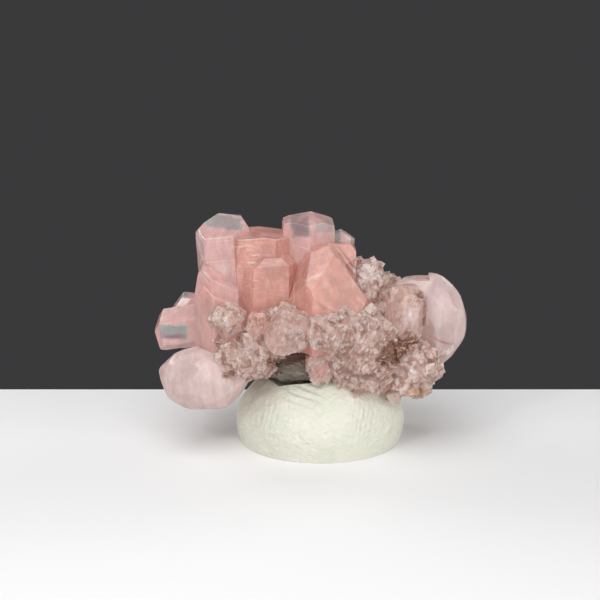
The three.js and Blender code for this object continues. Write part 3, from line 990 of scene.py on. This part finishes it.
def putty_material(look):
    """Soft matt putty, dabbed and creased by the fingers that pressed it."""
    s = Shader("putty")
    broad = s.noise(260, 3.0, 0.5)
    dabs = s.noise(2300, 3.0, 0.6)
    grit = s.noise(5200, 2.0, 0.5)
    creases = s.ease(s.bands(CREASE_GAP, CREASE_SLANT, 2.2), 0.2, 0.0) * s.near(*CREASES)
    ridges = highest(
        s.bands(RIDGE_GAP, RIDGE_SLANT, 3.0) * s.near(*mark) for mark in FINGER_MARKS
    )
    colour = s.layers(look.putty_colour, (
        (s.ease(broad, 0.3, 0.75), (0.66, 0.67, 0.56)),
        (s.ease(dabs, 0.5, 0.7) * 0.35, (0.8, 0.8, 0.7)),
        (s.ease(grit, 0.3, 0.22) * 0.3, (0.45, 0.45, 0.38)),
        # painted shade: the creases' grooves are darkened
        (creases * 0.45, (0.42, 0.42, 0.33)),
        (s.near(*SMEAR) * 0.35, (0.62, 0.42, 0.36)),
        (s.ease(s.near(*SPECK), 0.2, 0.5), (0.12, 0.1, 0.08)),
    ))
    more = {
        "Subsurface Weight": 0.15,
        "Subsurface Radius": (1.0, 0.9, 0.7),
        "Subsurface Scale": 0.5 * MM,
        "Normal": s.bump(dabs + 0.3 * ridges - 0.6 * creases, 0.8, 0.25),
    }
    return s.finish(s.principled(colour, 0.55, more))


def plain_material(name, colour, roughness):
    """One colour, equally rough all over."""
    s = Shader(name)
    return s.finish(s.principled(colour, roughness))


# ---------------------------------------------------------------- the calcite


def druse_tree(material):
    """Joins the bodies, scatters small rhombs over the rough ones and joins those too."""
    tree = bpy.data.node_groups.new("druse", "GeometryNodeTree")
    given = (
        ("Bodies", "Geometry"),
        ("Rock Seat", "Object"),
        ("Grain Size", "Float"),
        ("Grains per Area", "Float"),
        ("Seed", "Int"),
    )
    for name, kind in given:
        tree.interface.new_socket(name, in_out="INPUT", socket_type="NodeSocket" + kind)
    tree.interface.new_socket("Cluster", in_out="OUTPUT", socket_type="NodeSocketGeometry")
    g = Tree(tree)
    given = g.add("NodeGroupInput", output="Bodies")

    island = g.add("GeometryNodeInputMeshIsland", output="Island Index")
    split = {"Geometry": given, "Group ID": island}
    parts = g.add("GeometryNodeSplitToInstances", split, "Instances", domain="FACE")
    body = g.boolean("UNION", {"Mesh 2": parts})
    where = {
        "Mesh": body,
        "Density": g.stored("grain_host") * given.out("Grains per Area"),
        "Seed": given.out("Seed"),
    }
    points = g.add(
        "GeometryNodeDistributePointsOnFaces", where, "Points", distribute_method="RANDOM"
    )
    outward = points.out("Normal")
    chance = g.random(0.0, 1.0, GRAIN_SEEDS["width"])
    width = given.out("Grain Size") * (GRAIN_SMALL + GRAIN_LARGE * chance**3.0)
    sink = g.vector("SCALE", outward, scale=-GRAIN_SINK * width)
    placed = g.add("GeometryNodeSetPosition", {"Geometry": points, "Offset": sink})

    drift = g.add("ShaderNodeTexNoise", {"Scale": GRAIN_PATCHES, "Detail": 1.0}, "Color")
    drift = g.vector("SUBTRACT", drift, (0.5, 0.5, 0.5))
    way = g.stored("grow_way", "FLOAT_VECTOR")
    way = g.vector("ADD", way, g.vector("SCALE", drift, scale=GRAIN_DRIFT))
    way = g.vector("ADD", way, g.vector("SCALE", outward, scale=GRAIN_OUTWARD))
    turned = g.add("FunctionNodeAlignRotationToVector", {"Vector": way}, axis="Z")

    # A cube stood on its corner, marked from 0 at the foot to 1 at the tip.
    cube = g.add("GeometryNodeMeshCube", {"Size": (1, 1, 1)}, "Mesh")
    on_corner = (math.atan(math.sqrt(0.5)), math.radians(45), 0)
    upright = g.add("GeometryNodeTransform", {"Geometry": cube, "Rotation": on_corner})
    height = g.add("ShaderNodeSeparateXYZ", {"Vector": g.add("GeometryNodeInputPosition")}, "Z")
    tipped = g.add(
        "GeometryNodeStoreNamedAttribute",
        {"Geometry": upright, "Name": "grain_tip", "Value": height / math.sqrt(3) + 0.5},
        data_type="FLOAT",
        domain="CORNER",
    )
    thin = g.random(*GRAIN_THIN, GRAIN_SEEDS["thin"])
    tall = g.random(*GRAIN_TALL, GRAIN_SEEDS["tall"])
    scale = g.add("ShaderNodeCombineXYZ", {"X": width * thin, "Y": width, "Z": width * tall})
    grains = g.add(
        "GeometryNodeInstanceOnPoints",
        {"Points": placed, "Instance": tipped, "Rotation": turned, "Scale": scale},
    )
    most = (GRAIN_STRAY,) * 3
    least = (-GRAIN_STRAY,) * 3
    stray = g.random(least, most, GRAIN_SEEDS["stray"], "FLOAT_VECTOR")
    grains = g.add("GeometryNodeRotateInstances", {"Instances": grains, "Rotation": stray})
    crust = g.boolean("UNION", {"Mesh 2": [body, grains]})
    seat = g.add("GeometryNodeObjectInfo", {"Object": given.out("Rock Seat")}, "Geometry")
    seated = g.boolean("DIFFERENCE", {"Mesh 1": crust, "Mesh 2": seat})
    real = g.add("GeometryNodeRealizeInstances", {"Geometry": seated})
    made = g.add("GeometryNodeSetMaterial", {"Geometry": real, "Material": material})
    g.add("NodeGroupOutput", {"Cluster": made})
    return tree


def crystal_bodies():
    """All the calcite's bodies but the grains, still apart."""
    bodies = Bodies()
    for seed, crystal in enumerate(CRYSTALS.values(), start=LEDGE_SEED):
        clear_way = (crystal_turn(crystal) @ Vector((0, 0, 1))).normalized()
        haze = (Vector(crystal.point) - crystal.clear * clear_way, clear_way)
        values = {"crystal": 1, "tone": crystal.tone, "grain_host": crystal.grains}
        bodies.add(prism(crystal, bevel=CRYSTAL_BEVEL), FRONT_WAY, haze, **values)
        jitter = jitter_stream(seed)
        grow = [0.0] * 6
        for drop in crystal.ledges:
            grow = [g + max(0.0, LEDGE_WIDTH + LEDGE_SPREAD * next(jitter)) for g in grow]
            ledge = prism(crystal, drop, grow, LEDGE_BEVEL)
            bodies.add(ledge, FRONT_WAY, haze, **values)
    for seed, lens in enumerate(LENSES.values(), start=LENS_SEED):
        add_lens(bodies, lens, seed)
    for seed, lump in enumerate(LUMPS.values(), start=LUMP_SEED):
        add_lump(bodies, lump, seed)
    return bodies.to_object("calcite")


def add_lens(bodies, lens, seed):
    """Adds a lens worn to its flats and, where it has a step, cleaved down to that."""
    values = {"way": FRONT_WAY, "lens": lens.smooth, "grain_host": lens.grains}
    whole = worn_lens(lens, seed)
    middle = Vector(lens.centre)
    for azimuth, slope, share in lens.flats:
        outward = face_normal(azimuth, slope)
        reach = max(outward.dot(v.co - middle) for v in whole.verts)
        cut_flat(whole, middle + share * reach * outward, outward)
    if lens.step is None:
        bodies.add(whole, **values)
        return
    corner = Vector((lens.step[0], 0, lens.step[1]))
    low = whole.copy()
    cut_flat(low, corner, Vector((0, 0, 1)))
    bodies.add(low, **values)
    cut_flat(whole, corner, Vector((-1, 0, 0)))
    bodies.add(whole, **values)


def add_lump(bodies, lump, seed):
    """Adds a lump and the rhombs that stand on it."""
    body = rounded(lump.centre, lump.radii, LUMP_CORNERS, LUMP_ROUGHNESS, seed)
    bodies.add(body, lump.way, grain_host=1)
    jitter = jitter_stream(seed)
    for i in range(lump.druse):
        way = spread(i, lump.druse)
        width = DRUSE_WIDTH * (1 + DRUSE_SPREAD * next(jitter))
        axis = times(way, [1 / r for r in lump.radii]).normalized()
        middle = times(way, lump.radii) + Vector(lump.centre) - axis * DRUSE_SINK * width
        stray = Vector((next(jitter), next(jitter), next(jitter)))
        axis = (axis + stray * DRUSE_STRAY).normalized()
        druse = rhomb(middle, axis, 60 * next(jitter), width)
        bodies.add(druse, lump.way, grain_host=DRUSE_HOST)


def rock_shape(shrink=0):
    """The unbroken rock, its radii less by shrink."""
    radii = [r - shrink for r in ROCK_RADII]
    return rounded(ROCK_CENTRE, radii, ROCK_CORNERS, ROCK_ROUGHNESS, ROCK_SEED)


def plain_object(shape, name):
    """An object from a shape in millimetres."""
    mesh = bpy.data.meshes.new(name)
    for v in shape.verts:
        v.co *= MM
    shape.to_mesh(mesh)
    shape.free()
    thing = bpy.data.objects.new(name, mesh)
    bpy.context.collection.objects.link(thing)
    return thing


def dress(thing, material):
    """Gives the whole thing one material."""
    thing.data.materials.clear()
    thing.data.materials.append(material)
    for face in thing.data.polygons:
        face.material_index = 0


def set_inputs(modifier, tree, values):
    """Sets a node modifier's inputs through their sockets' identifiers."""
    for socket in tree.interface.items_tree:
        if socket.in_out == "INPUT" and socket.name in values:
            modifier[socket.identifier] = values[socket.name]


def bake_modifiers(thing):
    """Turns what the modifiers make into the object's own mesh."""
    graph = bpy.context.evaluated_depsgraph_get()
    made = bpy.data.meshes.new_from_object(thing.evaluated_get(graph))
    thing.modifiers.clear()
    old = thing.data
    thing.data = made
    bpy.data.meshes.remove(old)


def keep_largest_shell(thing):
    """Takes out crumbs and the sealed bubbles left between grown-together crystals."""
    shape = bmesh.new()
    shape.from_mesh(thing.data)
    shape.verts.ensure_lookup_table()
    shells = []
    seen = set()
    for start in shape.verts:
        if start in seen:
            continue
        shell = [start]
        seen.add(start)
        for v in shell:
            for edge in v.link_edges:
                other = edge.other_vert(v)
                if other not in seen:
                    seen.add(other)
                    shell.append(other)
        shells.append(shell)
    shells.sort(key=len)
    for shell in shells[:-1]:
        bmesh.ops.delete(shape, geom=shell, context="VERTS")
    shape.to_mesh(thing.data)
    shape.free()


def soften(thing, angle):
    """Shades smooth between faces that meet at less than this angle."""
    thing.data.shade_smooth()
    thing.data.set_sharp_from_angle(angle=math.radians(angle))


def drop_object(thing):
    """Takes a helper object away, with its mesh."""
    mesh = thing.data
    bpy.data.objects.remove(thing)
    if mesh.users == 0:
        bpy.data.meshes.remove(mesh)


def seat_piece(thing, node):
    """Puts a piece on the root body and hides the imported solid that it stands for."""
    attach(thing, "root")
    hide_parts(node)


# ---------------------------------------------------------------- the putty


def dent_depth(azimuth, height):
    """How far the mound's side is pushed in at this azimuth and height."""
    depth = 0
    for at, level, deepest, reach in DENTS:
        turn = azimuth - math.radians(at)
        turn = math.atan2(math.sin(turn), math.cos(turn))
        away = math.hypot(turn * MOUND_RADII[0], height - level) / reach
        depth += deepest * math.exp(-DENT_FALLOFF * away * away)
    return depth


def mound_shape():
    """The mound before the cluster is pressed in: a dented, oval dome that leans to the right."""
    shape = bmesh.new()
    rows = []
    oval = MOUND_RADII[1] / MOUND_RADII[0]
    for ring in range(MOUND_RINGS):
        up = ring / MOUND_RINGS
        swell = MOUND_BULGE * math.sin(math.pi * min(1, up / MOUND_BULGE_TOP))
        radius = MOUND_RADII[0] * math.sqrt(1 - up**MOUND_ROUNDNESS) + swell
        row = []
        for i in range(MOUND_SEGMENTS):
            turn = 2 * math.pi * i / MOUND_SEGMENTS
            pushed = radius - dent_depth(turn, MOUND_HEIGHT * up)
            place = Vector((radius * math.sin(turn), -radius * math.cos(turn), MOUND_HEIGHT * up))
            relief = abs(noise.fractal(place * KNEAD_FEATURES, *KNEAD_FRACTAL))
            pushed -= min(1, KNEAD_START * up) * KNEADED * relief
            x = pushed * math.sin(turn) + MOUND_SHIFT * up * up
            y = -pushed * math.cos(turn) * oval
            row.append(shape.verts.new((x, y, MOUND_HEIGHT * up)))
        rows.append(row)
    for low, high in zip(rows, rows[1:]):
        for i in range(MOUND_SEGMENTS):
            j = (i + 1) % MOUND_SEGMENTS
            shape.faces.new((low[i], low[j], high[j], high[i]))
    shape.faces.new(list(reversed(rows[0])))
    shape.faces.new(rows[-1])
    return shape


def add_boolean(thing, cutter):
    """Cuts one object out of another."""
    cut = thing.modifiers.new("cut", "BOOLEAN")
    cut.operation = "DIFFERENCE"
    cut.solver = "MANIFOLD"
    cut.object = cutter


# ---------------------------------------------------------------- the stage

TARGET = (-2.0, 0.0, 14.565)  # what the camera and the lights are turned to
FLOOR = ((-60, -80), (60, -80), (60, 14.5), (-60, 14.5))
FLOOR_TOP = -0.01
FLOOR_FOOT = -3
FLOOR_ROUGHNESS = 0.8
NEAREST_SEEN = 1
FARTHEST_SEEN = 10000
# Soft lights: where each stands from the target, its side and its glow.
LIGHTS = (
    ("top", (-20, -52, 113), 125, 2.7),
    ("glint_left", (-62, -92, 78), 10, 60.0),
    ("glint_right", (48, -105, 66), 9, 30.0),
    ("front_left", (-75, -110, 50), 90, 1.6),
    ("front_right", (115, -85, 35), 90, 2.8),
    ("front_low", (30, -150, 15), 90, 2.0),
    ("back_left", (-110, 70, 60), 60, 5.5),
    ("back_right", (110, 80, 70), 60, 4.5),
)


# ---------------------------------------------------------------- settings

COLOUR = {"subtype": "COLOR", "size": 3, "min": 0, "max": 1}


class CalciteLook(bpy.types.PropertyGroup):
    """Sizes and colours that a user may change."""

    clear_colour: bpy.props.FloatVectorProperty(
        name="Clear crystal", description="Tint of the clear crystal's surface",
        default=(0.97, 0.9, 0.89), **COLOUR,
    )
    salmon_colour: bpy.props.FloatVectorProperty(
        name="Salmon haze", description="Colour of the haze in the middle blocks",
        default=(0.82, 0.44, 0.37), **COLOUR,
    )
    pink_colour: bpy.props.FloatVectorProperty(
        name="Pink haze", description="Colour of the haze in the tall outer blocks",
        default=(0.86, 0.62, 0.61), **COLOUR,
    )
    lens_colour: bpy.props.FloatVectorProperty(
        name="Curved crystal", description="Colour of the frosted discs and lenses",
        default=(0.73, 0.485, 0.445), **COLOUR,
    )
    druse_colour: bpy.props.FloatVectorProperty(
        name="Druse", description="Colour of the small sparkling crystals",
        default=(0.94, 0.725, 0.645), **COLOUR,
    )
    stain_colour: bpy.props.FloatVectorProperty(
        name="Rust", description="Colour of the brown film on the druse",
        default=(0.17, 0.075, 0.045), **COLOUR,
    )
    absorb_colour: bpy.props.FloatVectorProperty(
        name="Depth tint", description="Colour that thick clear crystal turns to",
        default=(0.92, 0.48, 0.47), **COLOUR,
    )
    absorb_density: bpy.props.FloatProperty(
        name="Depth tint strength", description="How soon thick crystal turns to that colour",
        min=0, default=16,
    )
    polish: bpy.props.FloatProperty(
        name="Face roughness", description="How dull the crystal faces are",
        min=0, max=1, default=0.04,
    )
    grain_size: bpy.props.FloatProperty(
        name="Grain size", description="Width of a middling small crystal",
        unit="LENGTH", precision=5, min=0.0001, default=0.6 * MM,
    )
    grain_density: bpy.props.FloatProperty(
        name="Grains per square metre", description="How closely the small crystals stand",
        min=0, default=3.9 / MM**2,
    )
    rock_colour: bpy.props.FloatVectorProperty(
        name="Host rock", description="Colour of the rock that the cluster grew on",
        default=(0.115, 0.09, 0.07), **COLOUR,
    )
    putty_colour: bpy.props.FloatVectorProperty(
        name="Putty", description="Colour of the display putty",
        default=(0.72, 0.705, 0.615), **COLOUR,
    )


class CalciteStage(bpy.types.PropertyGroup):
    """The floor, the backdrop and the camera."""

    floor_colour: bpy.props.FloatVectorProperty(
        name="Floor", description="Colour of the plain floor",
        default=(0.8, 0.8, 0.8), **COLOUR,
    )
    backdrop: bpy.props.FloatVectorProperty(
        name="Backdrop", description="Colour of the unlit studio",
        default=(0.042, 0.042, 0.044), **COLOUR,
    )
    elevation: bpy.props.FloatProperty(
        name="Camera elevation", description="How far the camera looks down",
        subtype="ANGLE", default=math.radians(16),
    )
    distance: bpy.props.FloatProperty(
        name="Camera distance", description="From the camera to what it looks at",
        unit="LENGTH", default=150 * MM,
    )
    lens: bpy.props.FloatProperty(
        name="Focal length", description="Of the camera's lens, in millimetres", default=90
    )


# ---------------------------------------------------------------- operators


class CALCITE_OT_crystals(bpy.types.Operator):
    """Grows the calcite: blocks, curved crystals and the druse between them"""

    bl_idname = "calcite.crystals"
    bl_label = "Calcite crystals"

    def execute(self, context):
        look = context.scene.calcite_look
        thing = crystal_bodies()
        seat = plain_object(rock_shape(ROCK_BEDDED), "rock_seat")
        tree = druse_tree(calcite_material(look))
        grow = thing.modifiers.new("druse", "NODES")
        grow.node_group = tree
        set_inputs(grow, tree, {
            "Rock Seat": seat,
            "Grain Size": look.grain_size,
            "Grains per Area": look.grain_density,
            "Seed": GRAIN_SEEDS["place"],
        })
        bake_modifiers(thing)
        keep_largest_shell(thing)
        drop_object(seat)
        if len(thing.data.polygons) < FEWEST_FACES:
            raise RuntimeError("the crystals could not be joined")
        soften(thing, CALCITE_SMOOTH)
        seat_piece(thing, "calcite_crystals")
        return {"FINISHED"}


class CALCITE_OT_rock(bpy.types.Operator):
    """Makes the patch of rock under the crystals"""

    bl_idname = "calcite.rock"
    bl_label = "Host rock"

    def execute(self, context):
        shape = rock_shape()
        bmesh.ops.triangulate(shape, faces=shape.faces)
        bmesh.ops.subdivide_edges(shape, edges=shape.edges, cuts=ROCK_CUTS, use_grid_fill=True)
        for v in shape.verts:
            way = (v.co - Vector(ROCK_CENTRE)).normalized()
            relief = abs(noise.fractal(v.co * ROCK_FEATURES, *ROCK_FRACTAL))
            v.co -= way * ROCK_WORN * relief
        thing = plain_object(shape, "rock")
        dress(thing, rock_material(context.scene.calcite_look))
        soften(thing, ROCK_SMOOTH)
        seat_piece(thing, "host_rock")
        return {"FINISHED"}


class CALCITE_OT_putty(bpy.types.Operator):
    """Models the mound of putty and presses the cluster into it"""

    bl_idname = "calcite.putty"
    bl_label = "Putty mound"

    def execute(self, context):
        thing = plain_object(mound_shape(), "putty")
        hollow = plain_object(hollow_shape(), "hollow")
        seat = plain_object(rock_shape(-ROCK_CLEARANCE), "rock_seat")
        add_boolean(thing, hollow)
        add_boolean(thing, seat)
        bake_modifiers(thing)
        drop_object(hollow)
        drop_object(seat)
        dress(thing, putty_material(context.scene.calcite_look))
        soften(thing, PUTTY_SMOOTH)
        seat_piece(thing, "putty_mound")
        return {"FINISHED"}


class CALCITE_OT_stage(bpy.types.Operator):
    """Sets the floor, the soft lights, the dark studio and the camera"""

    bl_idname = "calcite.stage"
    bl_label = "Stage"

    def execute(self, context):
        stage = context.scene.calcite_stage
        self.make_floor(stage)
        self.make_world(context.scene, stage)
        target = Vector(TARGET) * MM
        for name, offset, size, brightness in LIGHTS:
            self.make_light(name, target, offset, size, brightness)
        self.make_camera(context.scene, stage, target)
        context.scene.view_settings.view_transform = "Standard"
        return {"FINISHED"}

    def make_floor(self, stage):
        shape = bmesh.new()
        top = [shape.verts.new((*corner, FLOOR_TOP)) for corner in FLOOR]
        low = [shape.verts.new((*corner, FLOOR_FOOT)) for corner in FLOOR]
        shape.faces.new(top)
        shape.faces.new(list(reversed(low)))
        for i in range(len(FLOOR)):
            j = (i + 1) % len(FLOOR)
            shape.faces.new((top[j], top[i], low[i], low[j]))
        floor = plain_object(shape, "floor")
        dress(floor, plain_material("floor", stage.floor_colour, FLOOR_ROUGHNESS))

    def make_world(self, scene, stage):
        world = bpy.data.worlds.new("studio")
        world.use_nodes = True
        world.node_tree.nodes["Background"].inputs["Color"].default_value = rgba(stage.backdrop)
        scene.world = world

    def make_light(self, name, target, offset, size, brightness):
        """A square soft light this many millimetres from the target. brightness is its glow."""
        data = bpy.data.lights.new(name, "AREA")
        data.size = size * MM
        data.energy = brightness * math.pi * data.size**2
        light = bpy.data.objects.new(name, data)
        light.location = target + Vector(offset) * MM
        light.rotation_euler = (target - light.location).to_track_quat("-Z", "Y").to_euler()
        bpy.context.collection.objects.link(light)

    def make_camera(self, scene, stage, target):
        data = bpy.data.cameras.new("camera")
        data.lens = stage.lens
        data.clip_start = NEAREST_SEEN * MM
        data.clip_end = FARTHEST_SEEN * MM
        camera = bpy.data.objects.new("camera", data)
        back = Vector((0, -math.cos(stage.elevation), math.sin(stage.elevation)))
        camera.location = target + back * stage.distance
        camera.rotation_euler = (-back).to_track_quat("-Z", "Y").to_euler()
        bpy.context.collection.objects.link(camera)
        scene.camera = camera


class CALCITE_PT_panel(bpy.types.Panel):
    """Lists the pieces and their settings"""

    bl_idname = "CALCITE_PT_panel"
    bl_label = "Calcite cluster"
    bl_space_type = "VIEW_3D"
    bl_region_type = "UI"
    bl_category = "Calcite"

    def draw(self, context):
        column = self.layout.column()
        for operator in OPERATORS:
            column.operator(operator.bl_idname)
        for group in (context.scene.calcite_look, context.scene.calcite_stage):
            for name in group.__annotations__:
                column.prop(group, name)


OPERATORS = (CALCITE_OT_crystals, CALCITE_OT_rock, CALCITE_OT_putty, CALCITE_OT_stage)
CLASSES = (CalciteLook, CalciteStage, *OPERATORS, CALCITE_PT_panel)


def register():
    for cls in CLASSES:
        bpy.utils.register_class(cls)
    bpy.types.Scene.calcite_look = bpy.props.PointerProperty(type=CalciteLook)
    bpy.types.Scene.calcite_stage = bpy.props.PointerProperty(type=CalciteStage)


def unregister():
    del bpy.types.Scene.calcite_stage
    del bpy.types.Scene.calcite_look
    for cls in reversed(CLASSES):
        bpy.utils.unregister_class(cls)


def main():
    register()
    bpy.ops.calcite.crystals()
    bpy.ops.calcite.rock()
    bpy.ops.calcite.putty()
    bpy.ops.calcite.stage()


if __name__ == "__main__":
    main()
